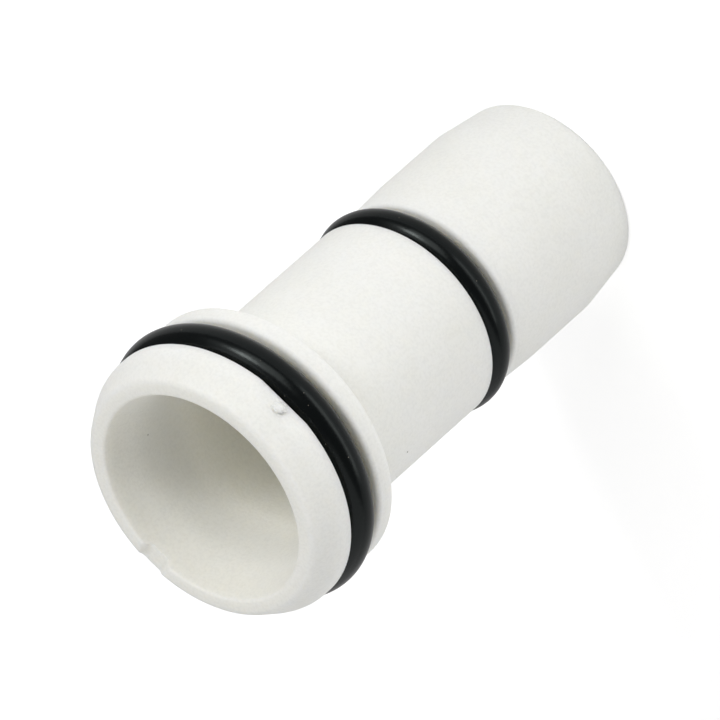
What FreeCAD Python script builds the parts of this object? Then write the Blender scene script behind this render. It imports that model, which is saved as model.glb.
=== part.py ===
import FreeCAD, Part
import Sketcher

import os
from enum import IntEnum
from types import SimpleNamespace

# Pipe insert for a push-fit fitting on 15 mm pipe: a white moulded sleeve with two rubber O-rings.
# The spigot and shank go inside the pipe, the collar stops against the pipe's cut end, and the head
# seals in the fitting. The insert stands on its foot, the spigot's end, with its axis on +Z.

# Driving dimensions in millimetres. Lengths run along the axis, from the front ring down to the foot,
# and depths, setbacks, walls and projections are measured square to it.
SIZES = {
    # Lengths of the moulding
    "overall_length": 28.5,
    "head_thickness": 2.15,
    "collar_thickness": 1.1,
    "shank_length": 10.7,
    "lip_length": 2.6,
    "lead_in_length": 2.95,
    # Outside of the moulding
    "head_diameter": 14.8,
    "front_chamfer_depth": 0.78,
    "front_chamfer_length": 1.4,
    "collar_setback": 0.05,
    "shank_diameter": 11.16,
    "lip_setback": 0.16,
    "spigot_setback": 0.03,
    "lead_in_depth": 0.4,
    # O-rings, and the room that their grooves leave them
    "head_ring_section": 1.8,
    "head_ring_projection": 0.27,
    "head_ring_side_gap": 0.275,
    "shank_ring_section": 1.6,
    "shank_ring_projection": 0.19,
    "shank_ring_upper_gap": 0.1,
    "shank_ring_lower_gap": 0.3,
    "ring_seat_clearance": 0.02,
    # Waterway: walls that it leaves, lengths of its tapers, and how much the throat narrows on its way
    "front_ring_wall": 0.82,
    "head_groove_wall": 0.7,
    "shank_wall": 0.7,
    "shank_groove_wall": 0.65,
    "foot_wall": 0.8,
    "mouth_length": 2.0,
    "throat_draft": 0.1,
    "neck_margin": 0.7,
    "neck_upper_taper": 1.6,
    "neck_lower_taper": 1.1,
    # Rounded and chamfered edges
    "front_blend_radius": 1.2,
    "front_edge_radius": 0.4,
    "mouth_edge_radius": 0.25,
    "mouth_blend_radius": 4.0,
    "neck_blend_radius": 0.8,
    "groove_corner_radius": 0.15,
    "collar_upper_radius": 0.35,
    "collar_lower_radius": 0.15,
    "shank_root_radius": 0.3,
    "lip_edge_radius": 0.3,
    "foot_edge_radius": 0.25,
    "foot_bore_chamfer": 0.15,
    # Slot across the front ring, and the trimmed gate on the other side of the head
    "rim_slot_width": 1.7,
    "rim_slot_floor_width": 1.2,
    "rim_slot_depth": 0.35,
    "gate_flat_depth": 0.18,
    "gate_flat_length": 0.95,
    "gate_dimple_diameter": 0.75,
    "gate_dimple_depth": 0.1,
    "gate_dimple_rise": 0.55,
}


class Length:
    """A length in millimetres, with the expression on the sheet that gives it."""

    def __init__(self, value, text):
        self.value = value
        self.text = text

    def __add__(self, other):
        return Length(self.value + other.value, f"{self.text} + {other.text}")

    def __sub__(self, other):
        return Length(self.value - other.value, f"{self.text} - ({other.text})")

    def __mul__(self, factor):
        return Length(self.value * factor, f"({self.text}) * {factor}")

    def __truediv__(self, divisor):
        return Length(self.value / divisor, f"({self.text}) / {divisor}")


class Axis(IntEnum):
    """The numbers by which a sketch knows its own axes."""

    HORIZONTAL = -1
    VERTICAL = -2


class Point(IntEnum):
    """The numbers by which a sketch knows the points of a line or circle, and its own origin."""

    START = 1
    END = 2
    CENTRE = 3


size = SimpleNamespace(**{alias: Length(number, "sizes." + alias) for alias, number in SIZES.items()})

AXIS = FOOT = Length(0.0, "0 mm")

# Heights above the foot, from the front ring down
HEAD_GROOVE_WIDTH = size.head_ring_section + size.head_ring_side_gap * 2
SHANK_GROOVE_WIDTH = size.shank_ring_section + size.shank_ring_upper_gap + size.shank_ring_lower_gap
FRONT = size.overall_length
CHAMFER_START = FRONT - size.front_chamfer_length
THROAT_TOP = FRONT - size.mouth_length
HEAD_BOTTOM = FRONT - size.head_thickness
COLLAR_TOP = HEAD_BOTTOM - HEAD_GROOVE_WIDTH
COLLAR_BOTTOM = COLLAR_TOP - size.collar_thickness
SHANK_BOTTOM = COLLAR_BOTTOM - size.shank_length
NECK_TOP = SHANK_BOTTOM + size.neck_margin
SLEEVE_BOTTOM = NECK_TOP + size.neck_upper_taper
SPIGOT_TOP = SHANK_BOTTOM - SHANK_GROOVE_WIDTH
NECK_BOTTOM = SPIGOT_TOP - size.neck_margin
FOOT_BORE_TOP = NECK_BOTTOM - size.neck_lower_taper
LIP_BOTTOM = SPIGOT_TOP - size.lip_length
LEAD_IN_TOP = size.lead_in_length

# Radii: each groove is as deep as its ring, its clearance and its projection make it, and the
# waterway leaves a wall inside each groove, the shank and the foot.
HEAD = size.head_diameter / 2
FRONT_RING = HEAD - size.front_chamfer_depth
MOUTH = FRONT_RING - size.front_ring_wall
COLLAR = HEAD - size.collar_setback
HEAD_GROOVE = HEAD + size.head_ring_projection - size.head_ring_section - size.ring_seat_clearance
SHANK = size.shank_diameter / 2
SHANK_GROOVE = SHANK + size.shank_ring_projection - size.shank_ring_section - size.ring_seat_clearance
LIP = SHANK - size.lip_setback
SPIGOT = SHANK - size.spigot_setback
FOOT_RIM = SPIGOT - size.lead_in_depth
THROAT = HEAD_GROOVE - size.head_groove_wall
THROAT_FOOT = THROAT - size.throat_draft
SLEEVE = SHANK - size.shank_wall
NECK = SHANK_GROOVE - size.shank_groove_wall
FOOT_BORE = FOOT_RIM - size.foot_wall

EDGE_TOLERANCE = 0.001
LEAST_CUT_VOLUME = 0.001

doc = FreeCAD.newDocument("pipe_insert")
sheet = doc.addObject("Spreadsheet::Sheet", "sizes")
for row, (alias, number) in enumerate(SIZES.items(), 1):
    sheet.set(f"A{row}", alias)
    sheet.set(f"B{row}", str(number))
    sheet.setAlias(f"B{row}", alias)
doc.recompute()


def new_body(label):
    body = doc.addObject("PartDesign::Body", label)
    body.Label = label
    return body


def new_sketch(body, name, offset=None):
    """A sketch on the body's own XZ plane, its vertical axis on the insert's; offset moves it to -Y."""
    plane = next(item for item in body.Origin.OriginFeatures if item.Role == "XZ_Plane")
    sketch = body.newObject("Sketcher::SketchObject", name)
    sketch.AttachmentSupport = [(plane, "")]
    sketch.MapMode = "FlatFace"
    if offset is not None:
        sketch.setExpression("AttachmentOffset.Base.z", offset.text)
    return sketch


def bind(sketch, length, *constraint):
    """Add a dimension to a sketch and bind it to a length."""
    index = sketch.addConstraint(Sketcher.Constraint(*constraint, length.value))
    sketch.setExpression(f"Constraints[{index}]", length.text)


def pin_point(sketch, curve, end, across, up):
    """Hold a point of a curve at two lengths from the sketch's origin, or on an axis at none."""
    for kind, axis, length in (("DistanceX", Axis.VERTICAL, across), ("DistanceY", Axis.HORIZONTAL, up)):
        if length.value == 0:
            sketch.addConstraint(Sketcher.Constraint("PointOnObject", curve, end, axis))
        else:
            bind(sketch, length, kind, Axis.HORIZONTAL, Point.START, curve, end)


def draw_loop(sketch, points):
    """Join points by a closed loop of lines; line n starts at point n."""
    for start, end in zip(points, points[1:] + points[:1]):
        sketch.addGeometry(Part.LineSegment(start, end), False)
    for line in range(len(points)):
        previous = (line - 1) % len(points)
        sketch.addConstraint(Sketcher.Constraint("Coincident", previous, Point.END, line, Point.START))


def draw_profile(sketch, corners):
    """Draw a closed profile through corners, each a pair of lengths: across and up."""
    draw_loop(sketch, [FreeCAD.Vector(across.value, up.value, 0) for across, up in corners])
    for line, (across, up) in enumerate(corners):
        pin_point(sketch, line, Point.START, across, up)


def draw_mirrored(sketch, corners):
    """Draw a closed shape from its right-hand corners and their mirror images across the axis."""
    right = [FreeCAD.Vector(across.value, up.value, 0) for across, up in corners]
    left = [FreeCAD.Vector(-point.x, point.y, 0) for point in reversed(right)]
    draw_loop(sketch, right + left)
    for line, (across, up) in enumerate(corners):
        pin_point(sketch, line, Point.START, across, up)
        twin = 2 * len(corners) - 1 - line
        ends = (line, Point.START, twin, Point.START)
        sketch.addConstraint(Sketcher.Constraint("Symmetric", *ends, Axis.VERTICAL))


def draw_circle(sketch, across, up, diameter):
    """Draw a circle about a point held by two lengths."""
    centre = FreeCAD.Vector(across.value, up.value, 0)
    curve = sketch.addGeometry(Part.Circle(centre, FreeCAD.Vector(0, 0, 1), diameter.value / 2), False)
    pin_point(sketch, curve, Point.CENTRE, across, up)
    bind(sketch, diameter, "Diameter", curve)


def check_cut(before, feature, side=None):
    """Stop if a cut took nothing away, or moved the centre of gravity towards the side it cut."""
    doc.recompute()
    after = feature.Shape
    if before.Volume - after.Volume < LEAST_CUT_VOLUME:
        raise RuntimeError(f"{feature.Name} removed nothing")
    if side is not None and (before.CenterOfGravity - after.CenterOfGravity).dot(side) <= 0:
        raise RuntimeError(f"{feature.Name} cut the wrong side")


def turn(body, kind, name, sketch):
    """Turn a sketch about the insert's axis, to add (Revolution) or to cut away (Groove)."""
    feature = body.newObject("PartDesign::" + kind, name)
    feature.Profile = sketch
    feature.ReferenceAxis = (sketch, ["V_Axis"])
    feature.Angle = 360
    doc.recompute()
    return feature


def turn_away(body, name, corners):
    """Cut a turned profile out of the body."""
    before = body.Tip.Shape
    sketch = new_sketch(body, name + "_profile")
    draw_profile(sketch, corners)
    check_cut(before, turn(body, "Groove", name, sketch))


def pocket(body, name, sketch, length, side):
    """Cut a sketch's shape away over a length, towards the side of the axis that side points to."""
    before = body.Tip.Shape
    feature = body.newObject("PartDesign::Pocket", name)
    feature.Profile = sketch
    feature.Reversed = side.y < 0
    feature.setExpression("Length", length.text)
    check_cut(before, feature, side)


def dress_edges(body, kind, name, size_property, length, places):
    """Fillet or chamfer the circular edges at places, each a pair of lengths: radius and height."""
    base = body.Tip
    names = []
    for number, edge in enumerate(base.Shape.Edges, 1):
        if not isinstance(edge.Curve, Part.Circle):
            continue
        for radius, height in places:
            near_radius = abs(edge.Curve.Radius - radius.value) < EDGE_TOLERANCE
            if near_radius and abs(edge.Curve.Center.z - height.value) < EDGE_TOLERANCE:
                names.append(f"Edge{number}")
    if len(names) != len(places):
        raise RuntimeError(f"{name} found {len(names)} of {len(places)} edges")
    feature = body.newObject("PartDesign::" + kind, name)
    feature.Base = (base, names)
    feature.setExpression(size_property, length.text)
    doc.recompute()


def fillet(body, name, radius, *places):
    dress_edges(body, "Fillet", name, "Radius", radius, places)


def make_insert_body():
    """The moulded sleeve: turned outside, two ring grooves, waterway, rounded edges and gate marks."""
    body = new_body("insert_body")

    outside = new_sketch(body, "outside_profile")
    draw_profile(outside, [
        (AXIS, FOOT),
        (FOOT_RIM, FOOT),
        (SPIGOT, LEAD_IN_TOP),
        (SPIGOT, LIP_BOTTOM),
        (LIP, SPIGOT_TOP),
        (SHANK, SPIGOT_TOP),
        (SHANK, COLLAR_BOTTOM),
        (COLLAR, COLLAR_BOTTOM),
        (COLLAR, COLLAR_TOP),
        (HEAD, COLLAR_TOP),
        (HEAD, CHAMFER_START),
        (FRONT_RING, FRONT),
        (AXIS, FRONT),
    ])
    turn(body, "Revolution", "outside", outside)

    # Each groove opens past the surface beside it, by its own ring's section.
    for name, floor, outer, section, bottom, top in (
            ("head_groove", HEAD_GROOVE, HEAD, size.head_ring_section, COLLAR_TOP, HEAD_BOTTOM),
            ("shank_groove", SHANK_GROOVE, SHANK, size.shank_ring_section, SPIGOT_TOP, SHANK_BOTTOM)):
        opening = outer + section
        turn_away(body, name, [(floor, bottom), (opening, bottom), (opening, top), (floor, top)])

    # The waterway narrows from the mouth to the throat, from there through the collar to the shank's
    # bore, and again to a neck inside the shank's groove.
    turn_away(body, "waterway", [
        (AXIS, FOOT),
        (FOOT_BORE, FOOT),
        (FOOT_BORE, FOOT_BORE_TOP),
        (NECK, NECK_BOTTOM),
        (NECK, NECK_TOP),
        (SLEEVE, SLEEVE_BOTTOM),
        (SLEEVE, COLLAR_BOTTOM),
        (THROAT_FOOT, COLLAR_TOP),
        (THROAT, THROAT_TOP),
        (MOUTH, FRONT),
        (AXIS, FRONT),
    ])

    fillet(body, "mouth_bell", size.mouth_blend_radius, (THROAT, THROAT_TOP))
    fillet(body, "neck_blends", size.neck_blend_radius,
           (SLEEVE, SLEEVE_BOTTOM),
           (NECK, NECK_TOP),
           (NECK, NECK_BOTTOM),
           (FOOT_BORE, FOOT_BORE_TOP))
    fillet(body, "mouth_edge", size.mouth_edge_radius, (MOUTH, FRONT))
    fillet(body, "front_edge", size.front_edge_radius, (FRONT_RING, FRONT))
    fillet(body, "front_blend", size.front_blend_radius, (HEAD, CHAMFER_START))
    fillet(body, "collar_upper", size.collar_upper_radius, (COLLAR, COLLAR_TOP))
    fillet(body, "collar_lower", size.collar_lower_radius, (COLLAR, COLLAR_BOTTOM))
    fillet(body, "shank_root", size.shank_root_radius, (SHANK, COLLAR_BOTTOM))
    fillet(body, "groove_corners", size.groove_corner_radius,
           (HEAD_GROOVE, HEAD_BOTTOM),
           (HEAD_GROOVE, COLLAR_TOP),
           (SHANK_GROOVE, SHANK_BOTTOM),
           (SHANK_GROOVE, SPIGOT_TOP))
    fillet(body, "lip_edge", size.lip_edge_radius, (LIP, SPIGOT_TOP))
    fillet(body, "foot_edge", size.foot_edge_radius, (FOOT_RIM, FOOT))
    dress_edges(body, "Chamfer", "foot_bore", "Size", size.foot_bore_chamfer, [(FOOT_BORE, FOOT)])

    # A slot with sloping walls crosses the front ring on the +Y side.
    slot = new_sketch(body, "rim_slot_profile")
    draw_mirrored(slot, [
        (size.rim_slot_floor_width / 2, FRONT - size.rim_slot_depth),
        (size.rim_slot_width / 2, FRONT),
    ])
    pocket(body, "rim_slot", slot, HEAD, FreeCAD.Vector(0, 1, 0))

    # The gate was trimmed off the head's lower edge on the -Y side, which left a flat and a dimple.
    flat_plane = HEAD - size.gate_flat_depth
    flat = new_sketch(body, "gate_flat_profile", flat_plane)
    draw_mirrored(flat, [
        (HEAD, HEAD_BOTTOM),
        (HEAD, HEAD_BOTTOM + size.gate_flat_length),
    ])
    pocket(body, "gate_flat", flat, size.head_ring_section, FreeCAD.Vector(0, -1, 0))
    dimple = new_sketch(body, "gate_dimple_profile", flat_plane - size.gate_dimple_depth)
    draw_circle(dimple, AXIS, HEAD_BOTTOM + size.gate_dimple_rise, size.gate_dimple_diameter)
    pocket(body, "gate_dimple", dimple, size.head_ring_section, FreeCAD.Vector(0, -1, 0))
    return body


def make_o_ring(label, floor, section, height):
    """A rubber O-ring of round section, just clear of its groove's floor, at a height on the axis."""
    body = new_body(label)
    sketch = new_sketch(body, label + "_section")
    draw_circle(sketch, floor + size.ring_seat_clearance + section / 2, FOOT, section)
    turn(body, "Revolution", label + "_ring", sketch)
    body.setExpression("Placement.Base.z", height.text)
    return body


bodies = [
    make_insert_body(),
    make_o_ring("head_o_ring", HEAD_GROOVE, size.head_ring_section,
                HEAD_BOTTOM - size.head_ring_side_gap - size.head_ring_section / 2),
    make_o_ring("shank_o_ring", SHANK_GROOVE, size.shank_ring_section,
                SHANK_BOTTOM - size.shank_ring_upper_gap - size.shank_ring_section / 2),
]
doc.recompute()

for item in doc.Objects:
    if "Invalid" in item.State or "Error" in item.State:
        raise RuntimeError(f"{item.Name} failed: {item.State}")
for body in bodies:
    if body.Shape.isNull() or not body.Shape.isValid() or len(body.Shape.Solids) != 1:
        raise RuntimeError(f"{body.Label} is not one valid solid")

os.makedirs("parts", exist_ok=True)
for body in bodies:
    body.Shape.exportStep(f"parts/{body.Label}.step")
    print(f"{body.Label}: {body.Shape.Volume:.2f} mm3")
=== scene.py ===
import math

import bmesh
import bpy
from bpy.props import FloatProperty, FloatVectorProperty, IntProperty, PointerProperty
from bpy.types import Operator, Panel, PropertyGroup
from mathutils import Matrix, Vector, noise


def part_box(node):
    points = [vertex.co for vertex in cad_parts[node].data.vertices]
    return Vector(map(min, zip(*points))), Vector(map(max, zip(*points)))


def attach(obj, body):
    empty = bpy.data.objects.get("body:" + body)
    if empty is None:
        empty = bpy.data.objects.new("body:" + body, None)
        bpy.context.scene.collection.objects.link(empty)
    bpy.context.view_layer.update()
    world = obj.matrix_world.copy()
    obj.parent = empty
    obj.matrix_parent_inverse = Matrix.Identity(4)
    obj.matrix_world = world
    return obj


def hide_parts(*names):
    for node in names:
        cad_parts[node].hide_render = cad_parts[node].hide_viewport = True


bl_info = {
    "name": "Pipe Insert",
    "version": (1, 0, 0),
    "blender": (4, 5, 0),
    "location": "View3D > Sidebar > Pipe Insert",
    "description": "Builds a moulded pipe insert with two O-rings on its frame, and a studio",
    "category": "Object",
}

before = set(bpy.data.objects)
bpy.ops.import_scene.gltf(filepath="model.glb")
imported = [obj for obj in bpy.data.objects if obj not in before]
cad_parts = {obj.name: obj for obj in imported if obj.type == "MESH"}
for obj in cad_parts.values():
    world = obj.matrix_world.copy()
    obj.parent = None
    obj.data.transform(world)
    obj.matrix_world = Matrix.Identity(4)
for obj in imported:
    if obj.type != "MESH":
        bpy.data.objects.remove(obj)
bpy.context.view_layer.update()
MM = 0.001

# The row has one body, which every piece rides on.
BODY = "root"
BODY_LOW, BODY_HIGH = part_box("insert_body")
OVERALL_LENGTH = BODY_HIGH.z - BODY_LOW.z

SHARP_ANGLE = math.radians(32)
MERGE_DISTANCE = 0.0005 * MM

# Steps of a rounded corner to a right angle, the fewest that any corner gets, and the longest step
# between two corners.
CORNER_STEPS = 10
FEWEST_STEPS = 3
LONGEST_STEP = 0.4 * MM


def srgb(code):
    """The linear colour of an sRGB hex code, with full alpha."""
    channels = [int(code[start:start + 2], 16) / 255 for start in (1, 3, 5)]
    return [c / 12.92 if c <= 0.04045 else ((c + 0.055) / 1.055) ** 2.4 for c in channels] + [1.0]


def length(name, millimetres, description):
    """A length property whose default is given in millimetres."""
    return FloatProperty(name=name, description=description, default=millimetres * MM,
                         unit="LENGTH", precision=5)


def colour(name, code, description):
    """A colour property whose default is given as an sRGB hex code."""
    return FloatVectorProperty(name=name, description=description, default=srgb(code), size=4,
                               subtype="COLOR", min=0.0, max=1.0)


def level(name, share, description):
    """A light's level property: the share of white that it gives to a surface facing it."""
    return FloatProperty(name=name, description=description, default=share, min=0.0)


class InsertMoulding(PropertyGroup):
    """Sizes of the moulded sleeve: lengths run down from the front ring, and depths are radial."""

    head_thickness: length("Head thickness", 2.15, "From the front ring to the large groove")
    head_groove_width: length("Large groove width", 2.35, "Groove of the large O-ring")
    collar_thickness: length("Collar thickness", 1.1, "Flange that stops against the pipe")
    shank_length: length("Shank length", 10.7, "From the collar to the small groove")
    shank_groove_width: length("Small groove width", 2.0, "Groove of the small O-ring")
    lip_length: length("Lip length", 2.6, "Slight taper below the small groove")
    lead_in_length: length("Lead-in length", 2.95, "Taper at the foot that guides the pipe on")
    head_radius: length("Head radius", 7.4, "Outside of the head")
    front_ring_radius: length("Front ring radius", 6.62, "Outside of the flat ring at the mouth")
    front_chamfer_length: length("Front chamfer length", 1.4, "From the front ring to the head")
    head_groove_radius: length("Large groove radius", 5.85, "Floor of the large groove")
    collar_radius: length("Collar radius", 7.35, "Outside of the collar")
    shank_radius: length("Shank radius", 5.58, "Outside of the shank")
    shank_groove_radius: length("Small groove radius", 4.15, "Floor of the small groove")
    lip_radius: length("Lip radius", 5.42, "Edge below the small groove")
    spigot_radius: length("Spigot radius", 5.55, "Straight stretch inside the pipe")
    foot_radius: length("Foot radius", 5.15, "End face of the spigot")
    mouth_radius: length("Mouth radius", 5.8, "Inside of the front ring")
    throat_radius: length("Throat radius", 5.15, "Inside of the head, behind the mouth")
    mouth_length: length("Mouth length", 2.0, "Depth at which the mouth becomes the throat")
    sleeve_radius: length("Sleeve radius", 4.88, "Inside of the shank")
    throat_draft: length("Throat draft", 0.1, "How much the throat narrows down to the collar")
    neck_radius: length("Neck radius", 3.5, "Narrow waterway inside the small groove")
    neck_margin: length("Neck margin", 0.7, "How far the neck runs on past the small groove")
    neck_upper_taper: length("Upper taper", 1.6, "From the shank's bore to the neck")
    neck_lower_taper: length("Lower taper", 1.1, "From the neck to the foot's bore")
    foot_bore_radius: length("Foot bore radius", 4.35, "Inside of the foot")
    slot_width: length("Slot width", 1.7, "Slot across the front ring, at its top")
    slot_floor_width: length("Slot floor width", 1.2, "Slot across the front ring, at its floor")
    slot_depth: length("Slot depth", 0.35, "Slot across the front ring")
    slot_rounding: length("Slot rounding", 0.3, "Soft edges of the slot")
    gate_flat_depth: length("Gate flat depth", 0.18, "How deep the gate was trimmed")
    gate_flat_length: length("Gate flat length", 0.95, "Up from the head's lower edge")
    gate_stub_radius: length("Gate stub radius", 0.42, "Torn stub in the gate flat")
    gate_stub_height: length("Gate stub height", 0.09, "How far the stub stands out of the flat")
    gate_stub_rise: length("Gate stub rise", 0.5, "Up from the head's lower edge")
    turns: IntProperty(name="Facets round", description="Steps of the turned surface",
                       default=256, min=32)


class SealRings(PropertyGroup):
    """Facets of the rubber rings, whose sizes and places come from the frame."""

    turns: IntProperty(name="Facets round", description="Steps round the ring",
                       default=224, min=32)
    section_steps: IntProperty(name="Facets of the section", description="Steps round the rubber",
                               default=40, min=12)


class InsertFinish(PropertyGroup):
    """Colours of the plastic and the rubber."""

    acetal: colour("Acetal", "#F2F2EE", "White plastic as moulded")
    acetal_shade: colour("Acetal shade", "#F0F0EB", "Slightly darker flow marks in the plastic")
    # Painted bounce light: a warmer, lighter colour on the sides facing the axis, for the shaded
    # bore.
    painted_bounce_tint: colour("Acetal core side", "#F4F3EC", "Warmer skin inside, shaped by the core pin")
    inclusion: colour("Inclusion", "#6E6A5E", "Specks in the plastic")
    rubber: colour("Rubber", "#030506", "Black rubber")
    dust: colour("Dust", "#6F6A60", "Dust on the rubber")


class StudioSettings(PropertyGroup):
    """Camera and lights."""

    lens: FloatProperty(name="Lens", description="Focal length in millimetres", default=600.0)
    distance: length("Distance", 582.56, "From the camera to the point it is aimed at")
    azimuth: FloatProperty(name="Azimuth", description="Turn of the view from +Y towards +X",
                           default=math.radians(6.3), unit="ROTATION")
    elevation: FloatProperty(name="Elevation", description="How far the camera looks down",
                             default=math.radians(38.16), unit="ROTATION")
    roll: FloatProperty(name="Roll", description="Turn of the camera about its own view",
                        default=math.radians(131.59), unit="ROTATION")
    aim_height: length("Aim height", 15.617, "Height of the point that the camera is aimed at")
    aim_side: length("Aim side", -0.109, "That point's place to the side of the axis")
    light_height: length("Light height", 17.5, "Height of the point that the lights are aimed at")
    key_level: level("Key light", 0.06, "Soft box on the right")
    core_level: level("Key light's core", 0.242, "Bright middle of the soft box on the right")
    top_level: level("Top light", 0.077, "Small box high on the right")
    front_level: level("Front light", 0.26, "Soft box between the key light and the camera")
    strip_level: level("Strip light", 0.115, "Small box low in front, for the line on the rubber")
    corner_level: level("Corner light", 0.092, "Small box low on the left, for the foot's edge")
    rear_level: level("Rear light", 0.848, "Large panel behind on the left")
    surround_level: level("Surround", 0.225, "Light of the white room")


# The plastic's patterns: the length of their waves in millimetres, and how high they stand. The
# real grain is too fine to show, so it is drawn about four times as coarse.
FLOW_SIZE = 4.5
RIPPLE_SIZE = 1.1
RIPPLE_HEIGHT = 0.008 * MM
GRAIN_SIZE = 0.16
GRAIN_HEIGHT = 0.014 * MM
INCLUSION_SPACING = 1.9

# Where the flow marks' shade ends and the plain colour begins, and where the grain's pattern is at
# its darkest and at full brightness.
FLOW_RANGE = (0.35, 0.6)
GRAIN_RANGE = (0.3, 0.6)
GRAIN_DARKEST = 0.95

# Painted bounce light: the warmer colour inside the bore begins where a surface's normal still
# leans this much away from the axis, as a cosine, and is complete where it leans as much towards
# it.
PAINTED_BOUNCE_EDGE = 0.3

# The rubber's skin, which is drawn coarser too, its dust, and the tint of its sheen.
SKIN_SIZE = 0.2
SKIN_HEIGHT = 0.004 * MM
DUST_SPACING = 0.6
RUBBER_SHEEN = "#F4FFFC"

# The radius of a speck's full part and of its soft edge, as shares of the specks' spacing.
INCLUSION_SIZE = (0.02, 0.035)
DUST_SIZE = (0.03, 0.06)


def add(tree, kind, inputs=(), **settings):
    """Add a node with its settings; inputs maps its sockets to values or to nodes' outputs."""
    node = tree.nodes.new(kind)
    for name, value in settings.items():
        setattr(node, name, value)
    for name, value in dict(inputs).items():
        if isinstance(value, bpy.types.NodeSocket):
            tree.links.new(value, node.inputs[name])
        else:
            node.inputs[name].default_value = value
    return node


def per(millimetres):
    """The texture scale at which one cell of a pattern is this long."""
    return 1 / (millimetres * MM)


def new_material(name):
    """An empty node material and its tree."""
    material = bpy.data.materials.new(name)
    material.use_nodes = True
    material.node_tree.nodes.clear()
    return material, material.node_tree


def painted_bounce_mask(tree, point):
    """The mask of the sides facing the axis, where painted bounce light warms the bore."""
    from_axis = add(tree, "ShaderNodeVectorMath",
                    {0: point.outputs["Object"], 1: (1.0, 1.0, 0.0)}, operation="MULTIPLY")
    outward = add(tree, "ShaderNodeVectorMath", {0: from_axis.outputs[0]}, operation="NORMALIZE")
    facing = add(tree, "ShaderNodeVectorMath",
                 {0: outward.outputs[0], 1: point.outputs["Normal"]}, operation="DOT_PRODUCT")
    mask = add(tree, "ShaderNodeMapRange", {"Value": facing.outputs["Value"],
                                            "From Min": PAINTED_BOUNCE_EDGE, "From Max": -PAINTED_BOUNCE_EDGE})
    return mask.outputs[0]


def specks(tree, point, spacing, size):
    """The mask of small round specks, one to each cell of a spacing in millimetres."""
    cells = add(tree, "ShaderNodeTexVoronoi",
                {"Vector": point.outputs["Object"], "Scale": per(spacing)})
    mask = add(tree, "ShaderNodeMapRange",
               {"Value": cells.outputs["Distance"], "From Min": size[0], "From Max": size[1],
                "To Min": 1.0, "To Max": 0.0})
    return mask.outputs[0]


def acetal_material(finish):
    """Acetal, injection moulded in a spark-eroded tool: white, satin and slightly translucent.

    It has faint flow marks and a few specks. The sides that face the axis get a warmer, slightly
    lighter colour, as painted bounce light in the shaded bore."""
    material, tree = new_material("acetal_moulded")
    point = add(tree, "ShaderNodeTexCoord")
    place = point.outputs["Object"]
    flow = add(tree, "ShaderNodeTexNoise",
               {"Vector": place, "Scale": per(FLOW_SIZE), "Detail": 3.0})
    tint = add(tree, "ShaderNodeValToRGB", {"Fac": flow.outputs["Fac"]})
    shade_end, plain_start = tint.color_ramp.elements
    shade_end.position, plain_start.position = FLOW_RANGE
    shade_end.color = finish.acetal_shade
    plain_start.color = finish.acetal
    # Painted bounce light: the sides facing the axis take the warmer colour, for the shaded bore.
    bounce_tinted = add(tree, "ShaderNodeMixRGB", {"Fac": painted_bounce_mask(tree, point),
                                           "Color1": tint.outputs["Color"],
                                           "Color2": finish.painted_bounce_tint})
    grain = add(tree, "ShaderNodeTexNoise",
                {"Vector": place, "Scale": per(GRAIN_SIZE), "Detail": 2.0})
    shaded_grain = add(tree, "ShaderNodeMapRange",
                       {"Value": grain.outputs["Fac"],
                        "From Min": GRAIN_RANGE[0], "From Max": GRAIN_RANGE[1],
                        "To Min": GRAIN_DARKEST, "To Max": 1.0})
    satin = add(tree, "ShaderNodeMixRGB", {"Fac": 1.0, "Color1": bounce_tinted.outputs["Color"],
                                           "Color2": shaded_grain.outputs[0]},
                blend_type="MULTIPLY")
    stained = add(tree, "ShaderNodeMixRGB",
                  {"Fac": specks(tree, point, INCLUSION_SPACING, INCLUSION_SIZE),
                   "Color1": satin.outputs["Color"], "Color2": finish.inclusion})
    ripple = add(tree, "ShaderNodeTexNoise",
                 {"Vector": place, "Scale": per(RIPPLE_SIZE), "Detail": 2.0})
    rippled = add(tree, "ShaderNodeBump", {"Height": ripple.outputs["Fac"], "Strength": 1.0,
                                           "Distance": RIPPLE_HEIGHT})
    grained = add(tree, "ShaderNodeBump", {"Height": grain.outputs["Fac"], "Strength": 1.0,
                                           "Distance": GRAIN_HEIGHT,
                                           "Normal": rippled.outputs[0]})
    gloss = add(tree, "ShaderNodeMapRange",
                {"Value": ripple.outputs["Fac"], "To Min": 0.42, "To Max": 0.56})
    shader = add(tree, "ShaderNodeBsdfPrincipled", {
        "Base Color": stained.outputs["Color"],
        "Roughness": gloss.outputs[0],
        "IOR": 1.48,
        "Specular IOR Level": 0.35,
        "Subsurface Weight": 0.9,
        "Subsurface Radius": (1.0, 0.96, 0.88),
        "Subsurface Scale": 0.7 * MM,
        "Normal": grained.outputs[0],
    })
    add(tree, "ShaderNodeOutputMaterial", {"Surface": shader.outputs[0]})
    return material


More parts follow.
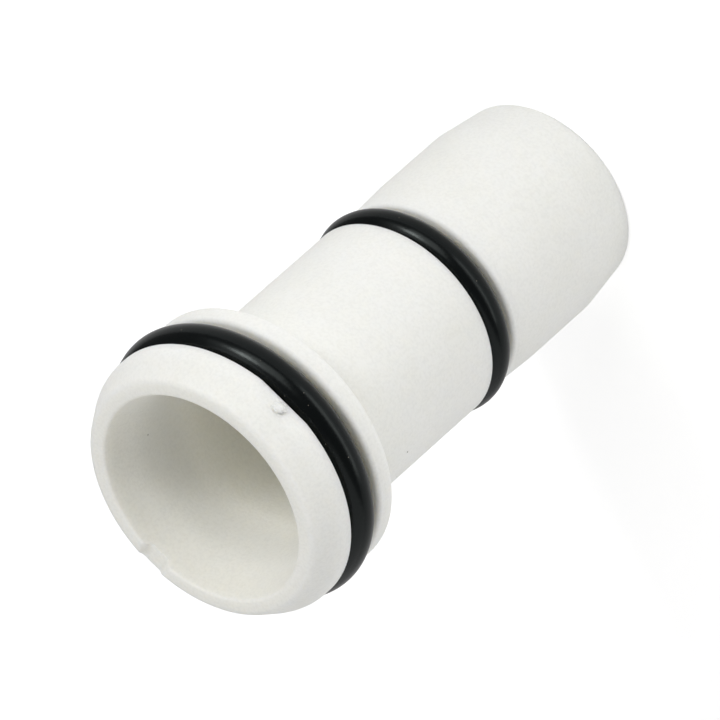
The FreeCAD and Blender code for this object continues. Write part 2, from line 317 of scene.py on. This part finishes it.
def rubber_material(finish):
    """EPDM rubber, compression moulded: black with a dull sheen, and a little dust."""
    material, tree = new_material("epdm_rubber")
    point = add(tree, "ShaderNodeTexCoord")
    dusty = add(tree, "ShaderNodeMixRGB",
                {"Fac": specks(tree, point, DUST_SPACING, DUST_SIZE),
                 "Color1": finish.rubber, "Color2": finish.dust})
    skin = add(tree, "ShaderNodeTexNoise",
               {"Vector": point.outputs["Object"], "Scale": per(SKIN_SIZE), "Detail": 3.0})
    roughened = add(tree, "ShaderNodeBump", {"Height": skin.outputs["Fac"], "Strength": 1.0,
                                             "Distance": SKIN_HEIGHT})
    gloss = add(tree, "ShaderNodeMapRange",
                {"Value": skin.outputs["Fac"], "To Min": 0.2, "To Max": 0.28})
    shader = add(tree, "ShaderNodeBsdfPrincipled", {
        "Base Color": dusty.outputs["Color"],
        "Roughness": gloss.outputs[0],
        "IOR": 1.5,
        "Specular IOR Level": 0.22,
        "Specular Tint": srgb(RUBBER_SHEEN),
        "Normal": roughened.outputs[0],
    })
    add(tree, "ShaderNodeOutputMaterial", {"Surface": shader.outputs[0]})
    return material


def link_mesh(bm, name):
    """An object at the origin made of a bmesh, which is freed."""
    mesh = bpy.data.meshes.new(name)
    bm.to_mesh(mesh)
    bm.free()
    thing = bpy.data.objects.new(name, mesh)
    bpy.context.scene.collection.objects.link(thing)
    return thing


def clean(bm):
    """Merge what doubles up and turn the faces outwards."""
    bmesh.ops.remove_doubles(bm, verts=bm.verts, dist=MERGE_DISTANCE)
    bmesh.ops.recalc_face_normals(bm, faces=bm.faces)


def round_corner(bm, vert, radius):
    """Round one corner of a flat outline to a radius."""
    one, other = (edge.other_vert(vert).co - vert.co for edge in vert.link_edges)
    turn = math.pi - one.angle(other)
    steps = max(FEWEST_STEPS, round(CORNER_STEPS * turn / (math.pi / 2)))
    bmesh.ops.bevel(bm, geom=[vert], offset=radius * math.tan(turn / 2), offset_type="OFFSET",
                    affect="VERTICES", segments=steps, profile=0.5, material=-1)


def draw_outline(corners):
    """A face on the plane Y = 0; each corner is its X, its Z and the radius of its rounding."""
    bm = bmesh.new()
    verts = [bm.verts.new((across, 0, height)) for across, height, rounding in corners]
    bm.faces.new(verts)
    bm.normal_update()
    for vert, (across, height, rounding) in zip(verts, corners):
        if rounding:
            round_corner(bm, vert, rounding)
    return bm


def split_long_edges(bm):
    """Divide the edges that are longer than the longest step."""
    for edge in list(bm.edges):
        cuts = int(edge.calc_length() / LONGEST_STEP)
        if cuts:
            bmesh.ops.subdivide_edges(bm, edges=[edge], cuts=cuts)


def spin_round(bm, turns):
    """Turn a closed line once about the axis."""
    bmesh.ops.spin(bm, geom=bm.verts[:] + bm.edges[:], cent=(0, 0, 0), axis=(0, 0, 1),
                   dvec=(0, 0, 0), angle=math.tau, steps=turns, use_merge=True)
    clean(bm)


def combine(thing, others):
    """Cut objects out of another one or join them to it, then delete them."""
    for other, operation in others:
        modifier = thing.modifiers.new(other.name, "BOOLEAN")
        modifier.operation = operation
        modifier.solver = "EXACT"
        modifier.object = other
    depsgraph = bpy.context.evaluated_depsgraph_get()
    before = thing.data
    thing.data = bpy.data.meshes.new_from_object(thing.evaluated_get(depsgraph))
    thing.modifiers.clear()
    for mesh in [before] + [other.data for other, operation in others]:
        bpy.data.meshes.remove(mesh)


def settle(piece, name, node, material):
    """Name a piece, finish it, and put it on the frame in place of a CAD node."""
    piece.name = name
    piece.data.name = name
    piece.data.materials.clear()
    piece.data.materials.append(material)
    piece.data.shade_smooth()
    piece.data.set_sharp_from_angle(angle=SHARP_ANGLE)
    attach(piece, BODY)
    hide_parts(node)


# The slot's cutter opens out this far above the front ring, and runs this far past the axis, in
# head radii.
SLOT_CLEARANCE = 0.004 * MM
SLOT_REACH = 1.2


def slot_cutter(moulding):
    """A bar with sloping sides that runs out over the front ring on the +Y side.

    Its corners are rounded, and it is widened just above the ring, so the slot's edges are soft."""
    front = OVERALL_LENGTH
    profile = [
        (moulding.slot_width, front + moulding.slot_depth, 0.0),
        (moulding.slot_width, front + SLOT_CLEARANCE, 0.0),
        (moulding.slot_width / 2, front + SLOT_CLEARANCE, moulding.slot_rounding),
        (moulding.slot_floor_width / 2, front - moulding.slot_depth, moulding.slot_rounding),
    ]
    mirrored = [(-across, height, rounding) for across, height, rounding in reversed(profile)]
    bm = draw_outline(profile + mirrored)
    drawn = bmesh.ops.extrude_face_region(bm, geom=bm.faces[:])["geom"]
    bmesh.ops.translate(bm, vec=(0, moulding.head_radius * SLOT_REACH, 0),
                        verts=[part for part in drawn if isinstance(part, bmesh.types.BMVert)])
    clean(bm)
    return link_mesh(bm, "slot_cutter")


def gate_place(moulding):
    """The Y of the gate's flat and the height of the head's lower edge."""
    return (-(moulding.head_radius - moulding.gate_flat_depth),
            OVERALL_LENGTH - moulding.head_thickness)


def gate_flat_cutter(moulding):
    """The trimming cut across the head's lower edge on the -Y side."""
    bm = bmesh.new()
    bmesh.ops.create_cube(bm, size=1.0)
    size = Vector((moulding.head_radius, moulding.gate_flat_length, moulding.gate_flat_length * 2))
    bmesh.ops.scale(bm, vec=size, verts=bm.verts)
    plane, edge = gate_place(moulding)
    bmesh.ops.translate(bm, vec=(0, plane - size.y / 2, edge), verts=bm.verts)
    return link_mesh(bm, "gate_flat_cutter")


# The torn stub, drawn on a ball of radius 1: the strength and the fineness of each roughness, how
# much it leans, the slopes of that lean along X and Z, and its height along Z to its width.
STUB_ROUGHNESS = ((0.3, 2.2), (0.18, 5.5))
STUB_LEAN = 0.6
STUB_SLOPE_X = 0.75
STUB_SLOPE_Z = -0.66
STUB_SQUATNESS = 0.85


def gate_stub(moulding):
    """What the trimming left of the gate in its flat: a low torn stub, lower towards +X and -Z."""
    bm = bmesh.new()
    bmesh.ops.create_icosphere(bm, subdivisions=5, radius=1.0)
    for vert in bm.verts:
        vert.co *= 1 + sum(strength * noise.noise(vert.co * fineness)
                           for strength, fineness in STUB_ROUGHNESS)
        vert.co.y += STUB_LEAN * (STUB_SLOPE_X * vert.co.x + STUB_SLOPE_Z * vert.co.z)
    size = (moulding.gate_stub_radius, moulding.gate_stub_height,
            moulding.gate_stub_radius * STUB_SQUATNESS)
    bmesh.ops.scale(bm, vec=size, verts=bm.verts)
    plane, edge = gate_place(moulding)
    bmesh.ops.translate(bm, vec=(0, plane, edge + moulding.gate_stub_rise), verts=bm.verts)
    clean(bm)
    return link_mesh(bm, "gate_stub")


# The moulding's rounded corners, from the foot up the outside, and back down the waterway.
FOOT_CHAMFER = 0.15 * MM
FOOT_BORE_EDGE = 0.05 * MM
FOOT_EDGE = 0.25 * MM
SPIGOT_BLEND = 2.0 * MM
LIP_EDGE = 0.22 * MM
GROOVE_CORNER = 0.15 * MM
SEAL_EDGE = 0.06 * MM
SHANK_FILLET = 0.3 * MM
COLLAR_STOP_EDGE = 0.15 * MM
COLLAR_TOP_EDGE = 0.25 * MM
CHAMFER_BLEND = 1.2 * MM
FRONT_RING_EDGE = 0.4 * MM
MOUTH_EDGE = 0.18 * MM
THROAT_BLEND = 4.0 * MM
NECK_BLEND = 0.8 * MM


class INSERT_OT_moulding(Operator):
    """Add the moulded sleeve in place of its plain solid"""

    bl_idname = "insert.moulding"
    bl_label = "Moulding"

    def execute(self, context):
        moulding = context.scene.insert_moulding
        front = OVERALL_LENGTH
        head_bottom = front - moulding.head_thickness
        collar_top = head_bottom - moulding.head_groove_width
        collar_bottom = collar_top - moulding.collar_thickness
        shank_bottom = collar_bottom - moulding.shank_length
        spigot_top = shank_bottom - moulding.shank_groove_width
        lip_bottom = spigot_top - moulding.lip_length
        neck_top = shank_bottom + moulding.neck_margin
        neck_bottom = spigot_top - moulding.neck_margin
        bm = draw_outline([
            (moulding.foot_bore_radius + FOOT_CHAMFER, 0.0, FOOT_BORE_EDGE),
            (moulding.foot_radius, 0.0, FOOT_EDGE),
            (moulding.spigot_radius, moulding.lead_in_length, SPIGOT_BLEND),
            (moulding.spigot_radius, lip_bottom, SPIGOT_BLEND),
            (moulding.lip_radius, spigot_top, LIP_EDGE),
            (moulding.shank_groove_radius, spigot_top, GROOVE_CORNER),
            (moulding.shank_groove_radius, shank_bottom, GROOVE_CORNER),
            (moulding.shank_radius, shank_bottom, SEAL_EDGE),
            (moulding.shank_radius, collar_bottom, SHANK_FILLET),
            (moulding.collar_radius, collar_bottom, COLLAR_STOP_EDGE),
            (moulding.collar_radius, collar_top, COLLAR_TOP_EDGE),
            (moulding.head_groove_radius, collar_top, GROOVE_CORNER),
            (moulding.head_groove_radius, head_bottom, GROOVE_CORNER),
            (moulding.head_radius, head_bottom, SEAL_EDGE),
            (moulding.head_radius, front - moulding.front_chamfer_length, CHAMFER_BLEND),
            (moulding.front_ring_radius, front, FRONT_RING_EDGE),
            (moulding.mouth_radius, front, MOUTH_EDGE),
            (moulding.throat_radius, front - moulding.mouth_length, THROAT_BLEND),
            (moulding.throat_radius - moulding.throat_draft, collar_top, THROAT_BLEND),
            (moulding.sleeve_radius, collar_bottom, THROAT_BLEND),
            (moulding.sleeve_radius, neck_top + moulding.neck_upper_taper, NECK_BLEND),
            (moulding.neck_radius, neck_top, NECK_BLEND),
            (moulding.neck_radius, neck_bottom, NECK_BLEND),
            (moulding.foot_bore_radius, neck_bottom - moulding.neck_lower_taper, NECK_BLEND),
            (moulding.foot_bore_radius, FOOT_CHAMFER, FOOT_BORE_EDGE),
        ])
        split_long_edges(bm)
        bmesh.ops.delete(bm, geom=list(bm.faces), context="FACES_ONLY")
        spin_round(bm, moulding.turns)
        piece = link_mesh(bm, "moulding")
        combine(piece, [(slot_cutter(moulding), "DIFFERENCE"),
                        (gate_flat_cutter(moulding), "DIFFERENCE"),
                        (gate_stub(moulding), "UNION")])
        material = acetal_material(context.scene.insert_finish)
        settle(piece, "moulding", "insert_body", material)
        return {"FINISHED"}


class INSERT_OT_seal_rings(Operator):
    """Add the two rubber rings in place of their plain solids"""

    bl_idname = "insert.seal_rings"
    bl_label = "O-rings"

    def execute(self, context):
        rings = context.scene.insert_rings
        material = rubber_material(context.scene.insert_finish)
        upright = Matrix.Rotation(math.pi / 2, 3, "X")
        for node in ("head_o_ring", "shank_o_ring"):
            low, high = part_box(node)
            section = (high.z - low.z) / 2
            bm = bmesh.new()
            bmesh.ops.create_circle(bm, cap_ends=False, segments=rings.section_steps,
                                    radius=section)
            bmesh.ops.rotate(bm, cent=(0, 0, 0), matrix=upright, verts=bm.verts)
            bmesh.ops.translate(bm, vec=(high.x - section, 0, (low.z + high.z) / 2),
                                verts=bm.verts)
            spin_round(bm, rings.turns)
            piece = link_mesh(bm, node)
            settle(piece, node.replace("o_ring", "seal"), node, material)
        return {"FINISHED"}


# The floor lies just under the foot's end face, so that the two don't flicker from below. The lift
# is the light that the camera sees it give, on top of what falls on it.
FLOOR_HEIGHT = -0.01 * MM
FLOOR_RADIUS = 3.0
FLOOR_LIFT = 0.45
PAPER = "#F4F4F4"
WHITE = "#FFFFFF"

# Beyond the floor's far edge.
FAR_CLIP = 10.0

# Each light's name, its bearing from straight ahead of the camera round to the right, its
# elevation, its width and height, and its distance.
SOFT_LIGHTS = (
    ("key", 112, 34, 0.30, 0.30, 0.5),
    ("core", 120, 36, 0.12, 0.12, 0.5),
    ("top", 96, 60, 0.20, 0.20, 0.5),
    ("front", 140, 30, 0.30, 0.30, 0.5),
    ("strip", 187, -4, 0.045, 0.022, 0.075),
    ("corner", 220, -6, 0.045, 0.018, 0.075),
    ("rear", 300, 35, 0.80, 0.80, 0.4),
)


def aim(thing, place, target, roll=0.0):
    """Put a camera or lamp at a place, looking at a target, and turn it about its own view."""
    forward = (target - place).normalized()
    right = forward.cross(Vector((0, 0, 1))).normalized()
    up = right.cross(forward)
    turned_up = up * math.cos(roll) + right * math.sin(roll)
    turned_right = right * math.cos(roll) - up * math.sin(roll)
    rotation = Matrix((turned_right, turned_up, -forward)).transposed()
    thing.matrix_world = Matrix.Translation(place) @ rotation.to_4x4()


class INSERT_OT_studio(Operator):
    """Add the floor, the soft lights, the white surround and the camera"""

    bl_idname = "insert.studio"
    bl_label = "Studio"

    def execute(self, context):
        studio = context.scene.insert_studio
        scene = context.scene
        self.add_floor()
        self.add_surround(scene, studio)
        for light in SOFT_LIGHTS:
            self.add_soft_light(scene, studio, *light)
        self.add_camera(scene, studio)
        scene.view_settings.view_transform = "Standard"
        return {"FINISHED"}

    def add_floor(self):
        """A white paper floor, lifted towards full white where the camera looks, bar the shadow."""
        bm = bmesh.new()
        bmesh.ops.create_circle(bm, cap_ends=True, segments=96, radius=FLOOR_RADIUS)
        bmesh.ops.translate(bm, vec=(0, 0, FLOOR_HEIGHT), verts=bm.verts)
        floor = link_mesh(bm, "floor")
        material, tree = new_material("paper_floor")
        paper = add(tree, "ShaderNodeBsdfDiffuse", {"Color": srgb(PAPER)})
        lift = add(tree, "ShaderNodeEmission", {"Color": srgb(WHITE), "Strength": FLOOR_LIFT})
        lifted = add(tree, "ShaderNodeAddShader", {0: paper.outputs[0], 1: lift.outputs[0]})
        ray = add(tree, "ShaderNodeLightPath").outputs["Is Camera Ray"]
        shader = add(tree, "ShaderNodeMixShader",
                     {0: ray, 1: paper.outputs[0], 2: lifted.outputs[0]})
        add(tree, "ShaderNodeOutputMaterial", {"Surface": shader.outputs[0]})
        floor.data.materials.append(material)

    def add_surround(self, scene, studio):
        """A white room: full white to the camera, and at its own level as a light."""
        world = bpy.data.worlds.new("surround")
        world.use_nodes = True
        tree = world.node_tree
        tree.nodes.clear()
        ray = add(tree, "ShaderNodeLightPath").outputs["Is Camera Ray"]
        strength = add(tree, "ShaderNodeMapRange",
                       {"Value": ray, "To Min": studio.surround_level, "To Max": 1.0})
        sky = add(tree, "ShaderNodeBackground",
                  {"Color": srgb(WHITE), "Strength": strength.outputs[0]})
        add(tree, "ShaderNodeOutputWorld", {"Surface": sky.outputs[0]})
        scene.world = world

    def add_soft_light(self, scene, studio, name, bearing, elevation, width, height, distance):
        """A flat soft light, aimed at the part from a bearing that turns with the camera."""
        lamp = bpy.data.lights.new(name, "AREA")
        lamp.shape = "RECTANGLE"
        lamp.size = width
        lamp.size_y = height
        # A small lamp of P watts lights a facing white surface to P / (pi * distance) ** 2.
        lamp.energy = getattr(studio, name + "_level") * (math.pi * distance) ** 2
        light = bpy.data.objects.new(name, lamp)
        scene.collection.objects.link(light)
        around = studio.azimuth + math.radians(bearing)
        rise = math.radians(elevation)
        direction = Vector((math.sin(around) * math.cos(rise), math.cos(around) * math.cos(rise),
                            math.sin(rise)))
        target = Vector((0, 0, studio.light_height))
        aim(light, target + direction * distance, target)

    def add_camera(self, scene, studio):
        """The camera at the photograph's angle: far off, with a long lens, and rolled."""
        lens = bpy.data.cameras.new("camera")
        lens.lens = studio.lens
        lens.clip_end = FAR_CLIP
        camera = bpy.data.objects.new("camera", lens)
        scene.collection.objects.link(camera)
        side = Vector((math.cos(studio.azimuth), -math.sin(studio.azimuth), 0))
        ahead = Vector((math.sin(studio.azimuth), math.cos(studio.azimuth), 0))
        view = ahead * math.cos(studio.elevation) - Vector((0, 0, math.sin(studio.elevation)))
        target = side * studio.aim_side + Vector((0, 0, studio.aim_height))
        aim(camera, target - view * studio.distance, target, studio.roll)
        scene.camera = camera


class INSERT_PT_panel(Panel):
    """Lists the operators and the settings"""

    bl_idname = "INSERT_PT_panel"
    bl_label = "Pipe Insert"
    bl_space_type = "VIEW_3D"
    bl_region_type = "UI"
    bl_category = "Pipe Insert"

    def draw(self, context):
        layout = self.layout
        for operator, settings in (("insert.moulding", context.scene.insert_moulding),
                                   ("insert.seal_rings", context.scene.insert_rings),
                                   ("insert.studio", context.scene.insert_studio)):
            layout.operator(operator)
            for name in settings.bl_rna.properties.keys():
                if name not in ("rna_type", "name"):
                    layout.prop(settings, name)
        for name in ("acetal", "acetal_shade", "painted_bounce_tint", "inclusion", "rubber", "dust"):
            layout.prop(context.scene.insert_finish, name)


SETTINGS = {
    "insert_moulding": InsertMoulding,
    "insert_rings": SealRings,
    "insert_finish": InsertFinish,
    "insert_studio": StudioSettings,
}
CLASSES = (*SETTINGS.values(), INSERT_OT_moulding, INSERT_OT_seal_rings, INSERT_OT_studio,
           INSERT_PT_panel)


def register():
    for each in CLASSES:
        bpy.utils.register_class(each)
    for name, group in SETTINGS.items():
        setattr(bpy.types.Scene, name, PointerProperty(type=group))


def unregister():
    for name in SETTINGS:
        delattr(bpy.types.Scene, name)
    for each in reversed(CLASSES):
        bpy.utils.unregister_class(each)


def main():
    register()
    bpy.ops.insert.moulding()
    bpy.ops.insert.seal_rings()
    bpy.ops.insert.studio()


if __name__ == "__main__":
    main()
